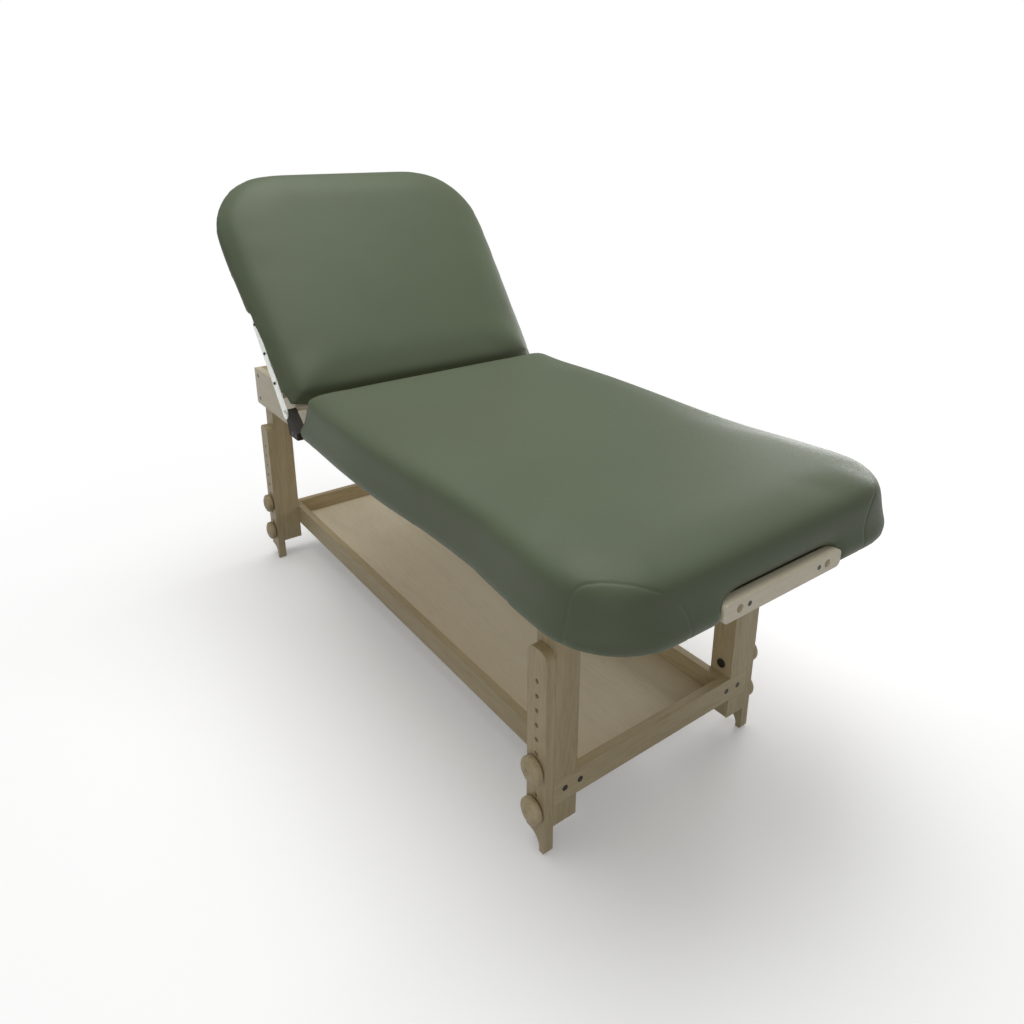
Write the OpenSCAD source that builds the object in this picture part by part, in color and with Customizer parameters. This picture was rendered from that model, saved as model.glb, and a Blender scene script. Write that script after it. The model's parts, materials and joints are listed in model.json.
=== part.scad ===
// Stationary massage table with a lifting back, bolt-on leg extensions and a shelf tray.
// Millimetres, Z up. X points to the foot end and Y to the left of a person lying face up.
// The origin is on the floor, below the middle of the table's length as it stands.

/* [Table] */
// Length over the legs, from the head legs' outer face to the foot legs' outer face
leg_base_length = 1342; // [1200:1:1500]
// Distance that the seat cushion stands out past the foot legs
foot_overhang = 235; // [200:1:300]
// Height of the cushions' top edge above the floor, at the lowest leg setting
top_height = 668; // [640:1:700]
// Distance from the head legs' outer face to the hinge axis of the back
hinge_from_head = 455; // [425:1:470]
// Tilt of the back as the table stands, in degrees
back_tilt = 50; // [20:1:65]
// Largest tilt that the back can be raised to, in degrees
back_tilt_max = 65; // [65:1:70]

/* [Cushions] */
// Thickness of the seat cushion, with the board inside it
seat_thickness = 120; // [110:1:130]
// Thickness of the back cushion, with the board inside it
back_thickness = 78; // [72:1:84]
// Width of both cushions at the hinge
hinge_width = 718; // [680:1:740]
// Width of the seat cushion where its sides first swell out
seat_hip_width = 738; // [700:1:780]
// Width of the seat cushion where its sides draw in
seat_waist_width = 712; // [660:1:740]
// Width of the seat cushion before its foot corners
seat_foot_width = 750; // [700:1:800]
// Radius of the seat cushion's foot corners in plan
seat_corner_radius = 138; // [80:1:180]
// Length of the back cushion from the hinge axis
back_length = 660; // [600:1:700]
// Width of the back cushion towards its free end
back_top_width = 766; // [700:1:800]
// Radius of the back cushion's free corners in plan
back_corner_radius = 185; // [100:1:220]
// Radius of the hinge-end corners of both cushions in plan
hinge_corner_radius = 30; // [28:1:45]
// Radius of the padded top edge
top_edge_radius = 40; // [25:1:42]
// Radius of the lower edge, where the cover turns under the board
bottom_edge_radius = 12; // [6:1:16]
// Height of the crown in the middle of each cushion
crown_height = 6; // [0:1:12]
// Thickness of the plywood board inside each cushion
board_thickness = 18; // [15:1:22]
// Distance from the cushion's outline in to the board's edge
board_inset = 24; // [18:1:26]

/* [Top frame] */
// Height of the side aprons under the back, where they are highest
apron_height = 103; // [90:1:110]
// Thickness of the side aprons
apron_thickness = 20; // [16:1:24]
// Radius of the aprons' end corners
apron_corner_radius = 8; // [2:1:15]
// Distance of the cross rails' lower edge above the aprons' lower edge
rail_lift = 8; // [0:1:20]
// Thickness of the cross rails
rail_thickness = 20; // [16:1:26]

/* [Legs] */
// Side of the square leg posts
post_size = 52; // [44:1:60]
// Width of the table over the outer faces of the posts
post_spread = 520; // [460:1:560]
// Height of the posts' lower end above the floor
post_bottom = 55; // [45:1:62]
// Length of each leg extension board
extension_length = 421; // [400:1:425]
// Thickness of each leg extension board
extension_thickness = 20; // [16:1:24]
// Radius of the extension's top corners
extension_top_radius = 18; // [8:1:24]
// Height of the lowest bolt hole above the floor
lowest_hole_height = 87; // [82:1:90]
// Distance between neighbouring bolt holes
hole_pitch = 30; // [28:1:32]
// Number of bolt holes in each extension
hole_count = 10; // [6:1:10]
// Number of pitches between the two bolts of a leg
bolt_pitches = 3; // [2:1:4]
// Radius of the rounded foot tip
foot_tip_radius = 12; // [8:1:14]
// Height of the step beside the foot tip
foot_step_height = 33; // [25:1:38]
// Width of the flat step beside the foot tip
foot_step_width = 12; // [6:1:16]

/* [Knobs] */
// Diameter of the leg knobs
knob_diameter = 52; // [40:1:56]
// Thickness of the leg knobs
knob_thickness = 20; // [18:1:26]
// Radius of the knob's rounded rim
knob_rim_radius = 6; // [3:0.5:8]
// Diameter of the washer face on the knob's back
knob_hub_diameter = 26; // [20:1:34]
// Depth of the threaded hole in the knob
knob_hole_depth = 14; // [10:1:15]

/* [Tray] */
// Height of the tray's lower edge above the floor
tray_bottom = 100; // [98:1:120]
// Height of the tray's rails
tray_rail_height = 53; // [40:1:60]
// Thickness of the tray's rails
tray_rail_thickness = 18; // [14:1:20]
// Thickness of the shelf panel
shelf_thickness = 6; // [4:1:9]
// Height of the shelf panel above the rails' lower edge
shelf_lift = 4; // [3:1:12]
// Depth of the groove that holds the shelf panel
shelf_groove = 6; // [4:1:8]

/* [Hinge] */
// Thickness of the steel hinge straps
strap_thickness = 3; // [2.5:0.5:5]
// Width of the hinge straps
strap_width = 28; // [20:1:30]
// Distance from the pivot to the first screw, and between the screws
strap_pitch = 80; // [60:1:90]
// Number of screws in each strap
strap_screws_each = 3; // [2:1:3]
// Diameter of the pivot bolts
pivot_diameter = 8; // [6:1:10]
// Length of the lugs that carry the pivot bolts, from the pivot
lug_length = 58; // [50:1:62]

/* [Prop] */
// Distance from the hinge axis to the prop's pivot, along the back
prop_from_hinge = 150; // [140:1:152]
// Distance of the prop's pivot below the back board
prop_drop = 22; // [21:1:23]
// Length of the prop between its pivot and its foot rod
prop_length = 220; // [218:1:224]
// Height of the foot rod's centre below the top of the frame
prop_foot_depth = 49; // [46:1:52]
// Distance between the middles of the two prop arms
prop_spread = 340; // [260:1:400]
// Width of the flat prop arms
prop_arm_width = 20; // [16:1:24]
// Thickness of the flat prop arms
prop_arm_thickness = 5; // [4:1:8]
// Diameter of the foot rod
prop_rod_diameter = 12; // [10:1:14]
// Height of the notched racks
rack_height = 36; // [30:1:40]
// Thickness of the notched racks
rack_thickness = 18; // [14:1:20]

/* [Face rest outlet] */
// Length of the outlet bar
outlet_length = 290; // [260:1:330]
// Height of the sockets above the seat board's underside
outlet_rise = 20; // [19:1:24]
// Height of the outlet bar
outlet_height = 32; // [28:1:36]
// Thickness of the outlet bar
outlet_thickness = 20; // [16:1:22]
// Radius of the bar's corners
outlet_corner_radius = 11; // [4:1:14]
// Distance between the two face rest sockets
socket_spread = 216; // [200:1:230]
// Diameter of the face rest sockets
socket_diameter = 14; // [12:0.5:16]
// Depth of the sockets in the block behind the bar
socket_depth = 80; // [60:1:90]
// Length of the hardwood block behind the bar
block_length = 98; // [95:1:140]
// Height of the hardwood block behind the bar
block_height = 36; // [30:1:40]
// Distance between the bar's two screws
outlet_screw_spread = 172; // [150:1:180]

/* [Fasteners] */
// Diameter of the leg bolts
leg_bolt_diameter = 8; // [6:1:10]
// Diameter of the leg bolts' round heads
leg_bolt_head = 19; // [15:1:20]
// Diameter of the tray and frame bolts
frame_bolt_diameter = 6; // [5:1:8]
// Diameter of the tray and frame bolts' heads
frame_bolt_head = 12; // [10:1:14]
// Length of the tray and frame bolts' shanks past the heads
frame_bolt_length = 44; // [36:1:48]
// Diameter of the small wood screws
screw_diameter = 4; // [3:0.5:5]
// Diameter of the small wood screws' heads
screw_head = 9; // [7:0.5:10]
// Length of the small wood screws
screw_length = 24; // [16:1:28]

/* [Hidden] */

// Gap between faces of different pieces that move past each other
gap = 0.3;
// Radial clearance of a bolt in a hole that it turns in
turning_clearance = 0.05;
// Radial clearance of a bolt in a drilled hole that it only passes through
drill_clearance = 0.1;
// Radial clearance of the leg bolts in the extension's holes
slip_clearance = 0.5;
// Overrun of every cut past the face that it opens
overrun = 1;
// Gap that the prop's rod keeps above the rack's teeth
rack_gap = 0.8;
// Gap left where the flat back comes down on the frame
landing_gap = 0.1;
// Room that the covers' crowns take where the raised back meets the seat
cover_room = 3;

wood = [0.55, 0.50, 0.40];
pale_wood = [0.82, 0.78, 0.67];
ply = [0.78, 0.70, 0.55];
steel = [0.72, 0.72, 0.70];
dark_steel = [0.16, 0.15, 0.14];
vinyl = [0.35, 0.39, 0.31];

// Main places along the table
head_x = -(leg_base_length + foot_overhang) / 2;
foot_leg_x = head_x + leg_base_length;
foot_x = foot_leg_x + foot_overhang;
hinge_x = head_x + hinge_from_head;

// Main heights: the back rests on the head posts and aprons, the seat's board lies lower
frame_top = top_height - back_thickness;
seat_bottom = top_height - seat_thickness;
hinge_z = frame_top + landing_gap + board_thickness / 2;
apron_bottom = frame_top - apron_height;
rail_bottom = apron_bottom + rail_lift;

// Places across the table
post_out = post_spread / 2;
post_in = post_out - post_size;
apron_out = post_out + apron_thickness;
extension_out = post_out + extension_thickness;
head_post_x = head_x + post_size / 2;
foot_post_x = foot_leg_x - post_size / 2;

// Hinge end of the cushions: the back's corner swings on this radius
swing_radius = top_height + landing_gap - hinge_z + cover_room;
seat_start = hinge_x + swing_radius * tan(back_tilt_max / 2) + gap;
seat_board_start = hinge_x + board_thickness / 2 + gap;
seat_board_end = foot_x - board_inset;
back_start = 2;
back_board_start = 3;
strap_y = hinge_width / 2;
widest_half = max(hinge_width, back_top_width) / 2;
strap_run = strap_pitch * strap_screws_each + strap_width;
pad_start = strap_width + strap_width / 2;
lug_thickness = board_inset - gap;

// Prop at rest: its foot rod stands over the racks
prop_offset = board_thickness / 2 + prop_drop;
prop_foot_z = frame_top - prop_foot_depth;
rack_top = prop_foot_z - prop_rod_diameter / 2 - rack_gap;
rack_head_x = head_x + post_size + rack_thickness / 3;
rack_run = 200;
notch_tilts = [20, 30, 40, 50, 58, 65];

// Face rest outlet
outlet_z = seat_bottom + outlet_rise;
block_width = outlet_length + screw_head;

// Outline of a cushion, and the steps along its corners and sides
hinge_corner_steps = 4;
side_steps = 13;
free_corner_steps = 11;
hinge_softness_share = 0.2;
soft_run = 90;
edge_steps = 7;
lower_edge_steps = 3;
// Distance in from the outline, and height, of the crown's rings as shares
crown_shrink_shares = [0.86, 0.66, 0.42, 0.16];

function smooth(s) = s * s * (3 - 2 * s);
function unit_share(s) = max(0, min(1, s));

// Half width at a share s along a side that swells and draws in between the given widths
function half_width(s, widths, shares) =
    let (
        k = max([for (i = [0:len(shares) - 2]) if (s >= shares[i] || i == 0) i]),
        u = unit_share((s - shares[k]) / (shares[k + 1] - shares[k])))
    (widths[k] + (widths[k + 1] - widths[k]) * smooth(u)) / 2;

function arc(cx, cy, r, a0, a1, steps) =
    [for (i = [0:steps]) let (a = a0 + (a1 - a0) * i / steps) [cx + r * cos(a), cy + r * sin(a)]];

// One side of the outline: hinge corner, shaped side and free corner
function half_outline(x0, x1, widths, shares, r0, r1) =
    let (w0 = widths[0], w1 = widths[len(widths) - 1])
    concat(
        arc(x0 + r0, w0 / 2 - r0, r0, 180, 90, hinge_corner_steps),
        [for (i = [1:side_steps - 1])
            let (s = i / side_steps)
            [x0 + r0 + s * (x1 - r1 - x0 - r0), half_width(s, widths, shares)]],
        arc(x1 - r1, w1 / 2 - r1, r1, 90, 0, free_corner_steps));

function both_sides(half) =
    concat(half, [for (i = [len(half) - 1:-1:0]) [half[i][0], -half[i][1]]]);

// The outline moved in by d, with less of it near the hinge end where soft is true
function inset_outline(points, d, soft) =
    let (n = len(points), x0 = min([for (p = points) p[0]]))
    [for (i = [0:n - 1])
        let (
            a = points[(i + n - 1) % n],
            b = points[(i + 1) % n],
            length = norm(b - a),
            normal = [-(b - a)[1], (b - a)[0]] / length,
            weight = soft
                ? hinge_softness_share + (1 - hinge_softness_share)
                    * smooth(unit_share((points[i][0] - x0) / soft_run))
                : 1)
        points[i] - normal * d * weight];

// Reach of the swinging back at a height h above the axis: its corner's circle, and above that
// the face of the back at its steepest tilt
function swing_reach(h, swing) =
    h > swing * cos(back_tilt_max)
        ? (swing - h * cos(back_tilt_max)) / sin(back_tilt_max)
        : sqrt(max(0, swing * swing - h * h));

// How far the hinge end draws back at a height z above the cushion's underside, to let the back
// pass that swings on the given radius about an axis at the given height
function end_shift(z, swing, axis_height) =
    max(0, swing_reach(z - axis_height, swing) - (seat_start - hinge_x));

function raised(points, z, swing) =
    let (
        x0 = min([for (p = points) p[0]]),
        shift = end_shift(z, swing, hinge_z - seat_bottom))
    [for (p = points) [p[0] + shift * (1 - smooth(unit_share((p[0] - x0) / soft_run))), p[1], z]];

function shrunk(points, k, cx, z) = [for (p = points) [cx + (p[0] - cx) * k, p[1] * k, z]];

// Rings of a cushion from the pocket for its board, round the edge and up to the crown
function cushion_rings(outline, thickness, swing) =
    let (
        x_mid = (min([for (p = outline) p[0]]) + max([for (p = outline) p[0]])) / 2,
        top = inset_outline(outline, top_edge_radius, true))
    concat(
        [raised(inset_outline(outline, board_inset - gap, false), board_thickness + gap, swing)],
        [raised(inset_outline(outline, board_inset - gap, false), 0, swing)],
        [for (i = [0:lower_edge_steps])
            let (a = -90 + 90 * i / lower_edge_steps)
            raised(inset_outline(outline, bottom_edge_radius * (1 - cos(a)), true),
                bottom_edge_radius * (1 + sin(a)), swing)],
        [for (i = [0:edge_steps])
            let (a = 90 * i / edge_steps)
            raised(inset_outline(outline, top_edge_radius * (1 - cos(a)), true),
                thickness - top_edge_radius * (1 - sin(a)), swing)],
        [for (k = crown_shrink_shares)
            shrunk(top, k, x_mid, thickness + crown_height * (1 - k * k))]);

module ring_solid(rings) {
    n = len(rings[0]);
    last = len(rings) - 1;
    points = [for (ring = rings) for (p = ring) p];
    sides = [for (k = [0:last - 1]) for (i = [0:n - 1])
        let (a = k * n + i, b = k * n + (i + 1) % n)
        each [[b, b + n, a + n], [b, a + n, a]]];
    caps = [[for (i = [0:n - 1]) n - 1 - i], [for (i = [0:n - 1]) last * n + i]];
    polyhedron(points = points, faces = concat(sides, caps), convexity = 4);
}

// Outlines in plan: the seat's along X, the back's from the hinge axis outwards
seat_widths = [hinge_width, seat_hip_width, seat_waist_width, seat_foot_width];
seat_shares = [0, 0.32, 0.72, 1];
back_widths = [hinge_width, back_top_width];
back_shares = [0, 1];
seat_outline = both_sides(half_outline(seat_start, foot_x, seat_widths, seat_shares,
    hinge_corner_radius, seat_corner_radius));
back_outline = both_sides(half_outline(back_start, back_length, back_widths, back_shares,
    hinge_corner_radius, back_corner_radius));

// Turns what is drawn flat, from the hinge axis towards the head, to its place on the raised back
module on_back() {
    translate([hinge_x, 0, hinge_z])
        rotate([0, back_tilt, 0])
            mirror([1, 0, 0])
                children();
}

module both_ways() {
    children();
    mirror([0, 1, 0]) children();
}

// A cylinder along +Y or +X that starts at the given place
module rod_y(d, length, pos) {
    translate(pos) rotate([-90, 0, 0]) cylinder(d = d, h = length, $fn = 48);
}

module rod_x(d, length, pos) {
    translate(pos) rotate([0, 90, 0]) cylinder(d = d, h = length, $fn = 48);
}

module box(low, high) {
    translate(low) cube(high - low);
}

// Plan of a board inside the given cushion outline, run on straight towards the hinge to start
module board_shape(outline, start) {
    half = strap_y - board_inset;
    reach = min([for (p = outline) p[0]]) + hinge_corner_radius;
    polygon(concat(
        [[start, half], [reach, half]],
        [for (p = inset_outline(outline, board_inset, false)) if (p[0] > reach + board_inset / 2) p],
        [[reach, -half], [start, -half]]));
}

// Seat

module seat_cushion() color(vinyl) difference() {
    translate([0, 0, seat_bottom])
        ring_solid(cushion_rings(seat_outline, seat_thickness, swing_radius + gap));
    // the board runs on under the hinge end
    box([hinge_x, -strap_y + board_inset - 4 * gap, seat_bottom - overrun],
        [seat_start + soft_run, strap_y - board_inset + 4 * gap, seat_bottom + board_thickness + gap / 2]);
    // the lugs stand beside the board
    both_ways() {
        box([hinge_x, strap_y - board_inset - overrun, seat_bottom - overrun],
            [hinge_x + lug_length + gap, strap_y + overrun, seat_bottom + board_thickness + 3 * gap]);
    }
    // the outlet bar and the block behind it
    box([seat_board_end - block_length - gap, -block_width / 2 - gap, seat_bottom - overrun],
        [seat_board_end + gap, block_width / 2 + gap, outlet_z + block_height / 2 + gap]);
    box([seat_board_end - overrun, -outlet_length / 2 - gap, seat_bottom - overrun],
        [foot_x + overrun, outlet_length / 2 + gap, outlet_z + outlet_height / 2 + gap]);
}

module seat_board() color(ply) difference() {
    translate([0, 0, seat_bottom])
        linear_extrude(board_thickness)
            board_shape(seat_outline, seat_board_start);
    box([seat_board_end - block_length, -block_width / 2, seat_bottom - overrun],
        [foot_x, block_width / 2, seat_bottom + board_thickness + overrun]);
    both_ways() {
        for (x = lug_screw_places) lug_screw_hole(x);
    }
}

// Lug beside the board's hinge corner, with the bore for the pivot bolt
lug_screw_places = [for (s = [0, 1]) seat_board_start + lug_length * (1 + s) / 3];
lug_screw_z = seat_bottom + board_thickness / 2;

module hinge_lug() color(pale_wood) difference() {
    translate([hinge_x, strap_y - gap, hinge_z]) rotate([90, 0, 0])
        linear_extrude(lug_thickness)
            hull() {
                circle(d = board_thickness, $fn = 48);
                translate([seat_board_start - hinge_x, seat_bottom - hinge_z])
                    square([lug_length - seat_board_start + hinge_x, board_thickness]);
            }
    rod_y(pivot_diameter, lug_thickness + 2 * overrun,
        [hinge_x, strap_y - gap - lug_thickness - overrun, hinge_z]);
    for (x = lug_screw_places) lug_screw_hole(x);
}

module left_hinge_lug() hinge_lug();
module right_hinge_lug() mirror([0, 1, 0]) hinge_lug();

// Screws through the lugs into the board's edge, with their heads sunk flush
module lug_screw_hole(x) {
    long = lug_thickness + screw_length;
    head = screw_head + 2 * drill_clearance;
    rod_y(screw_diameter + 2 * drill_clearance, long + drill_clearance,
        [x, strap_y - gap - long - drill_clearance, lug_screw_z]);
    rod_y(head, screw_head / 3 + drill_clearance + overrun,
        [x, strap_y - gap - screw_head / 3 - drill_clearance, lug_screw_z]);
}

module lug_screws() color(dark_steel) both_ways() {
    long = lug_thickness + screw_length;
    for (x = lug_screw_places) {
        rod_y(screw_diameter, long, [x, strap_y - gap - long, lug_screw_z]);
        rod_y(screw_head, screw_head / 3, [x, strap_y - gap - screw_head / 3, lug_screw_z]);
    }
}

module hinge_bolts() color(steel) both_ways() {
    rod_y(pivot_diameter, lug_thickness + strap_thickness + 3 * gap,
        [hinge_x, strap_y - gap - lug_thickness, hinge_z]);
    translate([hinge_x, strap_y + strap_thickness + gap, hinge_z])
        rotate([-90, 0, 0])
            cylinder(d1 = 2 * pivot_diameter, d2 = 1.5 * pivot_diameter, h = strap_thickness, $fn = 48);
}

module face_rest_bar() color(pale_wood) difference() {
    translate([seat_board_end, 0, outlet_z])
        rotate([90, 0, 90])
            linear_extrude(outlet_thickness)
                rounded_rectangle(outlet_length, outlet_height, outlet_corner_radius);
    both_ways() {
        rod_x(socket_diameter, outlet_thickness + 2 * overrun,
            [seat_board_end - overrun, socket_spread / 2, outlet_z]);
        screw_hole([seat_board_end + outlet_thickness, outlet_screw_spread / 2, outlet_z]);
    }
}

module face_rest_block() color(pale_wood) difference() {
    box([seat_board_end - block_length + gap, -block_width / 2 + gap, outlet_z - block_height / 2],
        [seat_board_end, block_width / 2 - gap, outlet_z + block_height / 2]);
    both_ways() {
        rod_x(socket_diameter, socket_depth + overrun,
            [seat_board_end - socket_depth, socket_spread / 2, outlet_z]);
        screw_hole([seat_board_end + outlet_thickness, outlet_screw_spread / 2, outlet_z]);
    }
}

module face_rest_screws() color(steel) both_ways() {
    screw([seat_board_end + outlet_thickness, outlet_screw_spread / 2, outlet_z]);
}

// A flat-head screw that points along -X, with its head's face at the given place
module screw(pos) {
    long = screw_length + outlet_thickness;
    rod_x(screw_diameter, long, pos - [long, 0, 0]);
    translate(pos - [screw_head / 3, 0, 0])
        rotate([0, 90, 0])
            cylinder(d1 = screw_diameter, d2 = screw_head, h = screw_head / 3, $fn = 48);
}

module screw_hole(pos) {
    long = screw_length + outlet_thickness + drill_clearance;
    rod_x(screw_diameter + 2 * drill_clearance, long, pos - [long, 0, 0]);
    translate(pos - [screw_head / 3 + drill_clearance, 0, 0])
        rotate([0, 90, 0])
            cylinder(d1 = screw_diameter + 2 * drill_clearance, d2 = screw_head + 2 * drill_clearance,
                h = screw_head / 3 + drill_clearance, $fn = 48);
    rod_x(screw_head + 2 * drill_clearance, overrun, pos);
}

module rounded_rectangle(length, width, r) {
    hull() both_corners(length, width, r);
}

module both_corners(length, width, r) {
    for (x = [-1, 1], y = [-1, 1])
        translate([x * (length / 2 - r), y * (width / 2 - r)])
            circle(r, $fn = 32);
}

// Top frame

// Side view of an apron: high under the back, lower under the seat's board
module apron_shape() {
    r = apron_corner_radius;
    difference() {
        translate([head_x, apron_bottom]) square([leg_base_length, apron_height]);
        translate([hinge_x, seat_bottom])
            square([leg_base_length, apron_height]);
        for (c = [[head_x + r, 0], [foot_leg_x - r, 1]])
            translate([c[0], apron_bottom + r])
                mirror([1 - c[1], 0])
                    difference() {
                        translate([0, -r - overrun]) square(r + overrun);
                        circle(r, $fn = 48);
                    }
    }
}

module apron() color(pale_wood) difference() {
    translate([0, apron_out, 0]) rotate([90, 0, 0]) linear_extrude(apron_thickness) apron_shape();
    for (p = apron_bolt_places) bolt_hole_y(p);
}

apron_bolt_in = 1.5 * frame_bolt_head;
apron_bolt_places = [
    [head_post_x, apron_out, apron_bottom + apron_bolt_in],
    [head_post_x, apron_out, frame_top - apron_bolt_in],
    [foot_post_x, apron_out, apron_bottom + apron_bolt_in],
    [foot_post_x, apron_out, seat_bottom - apron_bolt_in]];

// A bolt that points inwards along -Y, with its head sunk flush at the given place
module bolt_y(pos) {
    sunk = frame_bolt_head / 3;
    rod_y(frame_bolt_diameter, frame_bolt_length, pos - [0, frame_bolt_length, 0]);
    translate(pos - [0, sunk, 0]) rotate([-90, 0, 0]) difference() {
        cylinder(d = frame_bolt_head, h = sunk, $fn = 48);
        translate([0, 0, sunk / 2]) cylinder(d = frame_bolt_head / 2, h = sunk, $fn = 6);
    }
}

module bolt_hole_y(pos) {
    long = frame_bolt_length + drill_clearance;
    sunk = frame_bolt_head / 3 + drill_clearance;
    rod_y(frame_bolt_diameter + 2 * drill_clearance, long, pos - [0, long, 0]);
    rod_y(frame_bolt_head + 2 * drill_clearance, sunk + overrun, pos - [0, sunk, 0]);
}

module left_apron() apron();
module right_apron() mirror([0, 1, 0]) apron();

module frame_bolts() color(dark_steel) both_ways() {
    for (p = apron_bolt_places) bolt_y(p);
}

// Cross rail whose middle is at x, reaching to y on each side and up to top
module cross_rail(x, y, top) color(wood) {
    box([x - rail_thickness / 2, -y, rail_bottom], [x + rail_thickness / 2, y, top]);
}

hinge_rail_x = seat_start + 2 * rail_thickness;
module head_rail() cross_rail(head_post_x, post_in, frame_top);
module foot_rail() cross_rail(foot_post_x, post_in, seat_bottom);
module hinge_rail() cross_rail(hinge_rail_x, post_out, seat_bottom);
module middle_rail() cross_rail((hinge_rail_x + foot_post_x) / 2, post_out, seat_bottom);

// Place of the prop's pivot and foot along X, from the hinge axis, at a tilt of the back
function prop_pivot_x(t) = -prop_from_hinge * cos(t) - prop_offset * sin(t);
function prop_pivot_z(t) = hinge_z + prop_from_hinge * sin(t) - prop_offset * cos(t);
function prop_slope(t) = asin((prop_pivot_z(t) - prop_foot_z) / prop_length);
function prop_foot_x(t) = prop_pivot_x(t) - prop_length * cos(prop_slope(t));

module rack() color(pale_wood) difference() {
    box([rack_head_x, post_out - rack_thickness, rack_top - rack_height],
        [rack_head_x + rack_run, post_out, rack_top]);
    for (t = notch_tilts)
        rod_y(prop_rod_diameter + 2 * rack_gap, rack_thickness + 2 * overrun,
            [hinge_x + prop_foot_x(t), post_out - rack_thickness - overrun, rack_top]);
}

module left_rack() rack();
module right_rack() mirror([0, 1, 0]) rack();

// Legs

post_bolt_heights = [lowest_hole_height, lowest_hole_height + bolt_pitches * hole_pitch];

// The post of the left foot leg; the others are its mirror images
module post(x) {
    side = x > 0 ? 1 : -1;
    bar_face = side * post_size / 2;
    color(wood) difference() {
        box([x - post_size / 2, post_in, post_bottom],
            [x + post_size / 2, post_out, side > 0 ? seat_bottom : frame_top]);
        // the tray's crossbar is let in flush
        box([min(x + bar_face, x + bar_face - side * tray_rail_thickness) - (side < 0 ? overrun : 0),
                post_in - overrun, tray_bottom],
            [max(x + bar_face, x + bar_face - side * tray_rail_thickness) + (side > 0 ? overrun : 0),
                post_out + overrun, tray_bottom + tray_rail_height]);
        for (z = post_bolt_heights)
            rod_y(leg_bolt_diameter + 2 * drill_clearance, post_size + 2 * overrun,
                [x, post_in - overrun, z]);
        for (p = apron_bolt_places) bolt_hole_y(p);
        tray_bolt_hole(x + bar_face, post_middle, side);
    }
}

post_middle = (post_in + post_out) / 2;
tray_rail_middle = post_in - tray_rail_thickness / 2;
tray_bolt_z = tray_bottom + tray_rail_height / 2;

module head_left_post() post(head_post_x);
module foot_left_post() post(foot_post_x);
module head_right_post() mirror([0, 1, 0]) post(head_post_x);
module foot_right_post() mirror([0, 1, 0]) post(foot_post_x);

// Round-headed bolts through the posts and extensions, into the knobs
leg_bolt_reach = knob_hole_depth - overrun;
module leg_bolts() color(dark_steel) both_ways() {
    for (x = [head_post_x, foot_post_x], z = post_bolt_heights) {
        rod_y(leg_bolt_diameter, extension_out + leg_bolt_reach - post_in, [x, post_in, z]);
        translate([x, post_in, z]) rotate([90, 0, 0])
            rotate_extrude($fn = 48)
                intersection() {
                    translate([0, -leg_bolt_head]) circle(1.25 * leg_bolt_head, $fn = 96);
                    square([leg_bolt_head / 2, leg_bolt_head]);
                }
    }
}

// Side view of an extension: rounded top, stepped foot with its tip on the foot-end side
module extension_shape() {
    half = post_size / 2;
    tip = foot_tip_radius;
    cove = foot_step_height - tip / 2;
    difference() {
        translate([-half, 0]) square([post_size, extension_length]);
        // rounded top corners
        for (s = [-1, 1])
            translate([s * (half - extension_top_radius), extension_length - extension_top_radius])
                difference() {
                    translate([s > 0 ? 0 : -extension_top_radius - overrun, 0])
                        square(extension_top_radius + overrun);
                    circle(extension_top_radius, $fn = 64);
                }
        // step and cove beside the tip
        translate([-half - overrun, -overrun])
            square([foot_step_width + overrun, foot_step_height + overrun]);
        translate([-half + foot_step_width, tip / 2]) circle(cove, $fn = 64);
        translate([-half, -overrun]) square([post_size - 2 * tip, tip / 2 + overrun]);
        // rounded underside of the tip
        for (s = [-1, 1])
            translate([half - tip + s * tip / 2, tip / 2])
                difference() {
                    translate([s > 0 ? 0 : -tip / 2 - overrun, -tip / 2 - overrun])
                        square(tip / 2 + overrun);
                    circle(tip / 2, $fn = 48);
                }
    }
}

module extension(x) color(wood) difference() {
    translate([x, extension_out, 0])
        rotate([90, 0, 0])
            linear_extrude(extension_thickness) extension_shape();
    for (i = [0:hole_count - 1])
        rod_y(leg_bolt_diameter + 2 * slip_clearance, extension_thickness + 2 * overrun,
            [x, post_out - overrun, lowest_hole_height + i * hole_pitch]);
}

module head_left_extension() extension(head_post_x);
module foot_left_extension() extension(foot_post_x);
module head_right_extension() mirror([0, 1, 0]) extension(head_post_x);
module foot_right_extension() mirror([0, 1, 0]) extension(foot_post_x);

// Knob on the bolt of a left leg, with a domed face, a rounded rim and a blind hole
module knob(x, z) {
    r = knob_diameter / 2;
    rim = knob_rim_radius;
    hub = knob_hub_diameter / 2;
    hub_height = knob_thickness / 6;
    hole = leg_bolt_diameter / 2 + turning_clearance;
    dome = knob_thickness / 10;
    color(wood) translate([x, extension_out + gap, z]) rotate([-90, 0, 0])
        rotate_extrude($fn = 64)
            polygon(concat(
                [[hole, 0], [hub, 0], [hub, hub_height], [r - rim, hub_height]],
                arc(r - rim, hub_height + rim, rim, -90, 90, 10),
                [[r - rim - dome, hub_height + 2 * rim + dome / 2], [hub, knob_thickness - dome / 2],
                    [0, knob_thickness], [0, knob_hole_depth], [hole, knob_hole_depth]]));
}

module head_left_lower_knob() knob(head_post_x, post_bolt_heights[0]);
module head_left_upper_knob() knob(head_post_x, post_bolt_heights[1]);
module foot_left_lower_knob() knob(foot_post_x, post_bolt_heights[0]);
module foot_left_upper_knob() knob(foot_post_x, post_bolt_heights[1]);
module head_right_lower_knob() mirror([0, 1, 0]) head_left_lower_knob();
module head_right_upper_knob() mirror([0, 1, 0]) head_left_upper_knob();
module foot_right_lower_knob() mirror([0, 1, 0]) foot_left_lower_knob();
module foot_right_upper_knob() mirror([0, 1, 0]) foot_left_upper_knob();

// Tray

tray_head = head_x + tray_rail_thickness;
tray_foot = foot_leg_x - tray_rail_thickness;
shelf_z = tray_bottom + shelf_lift;

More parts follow.
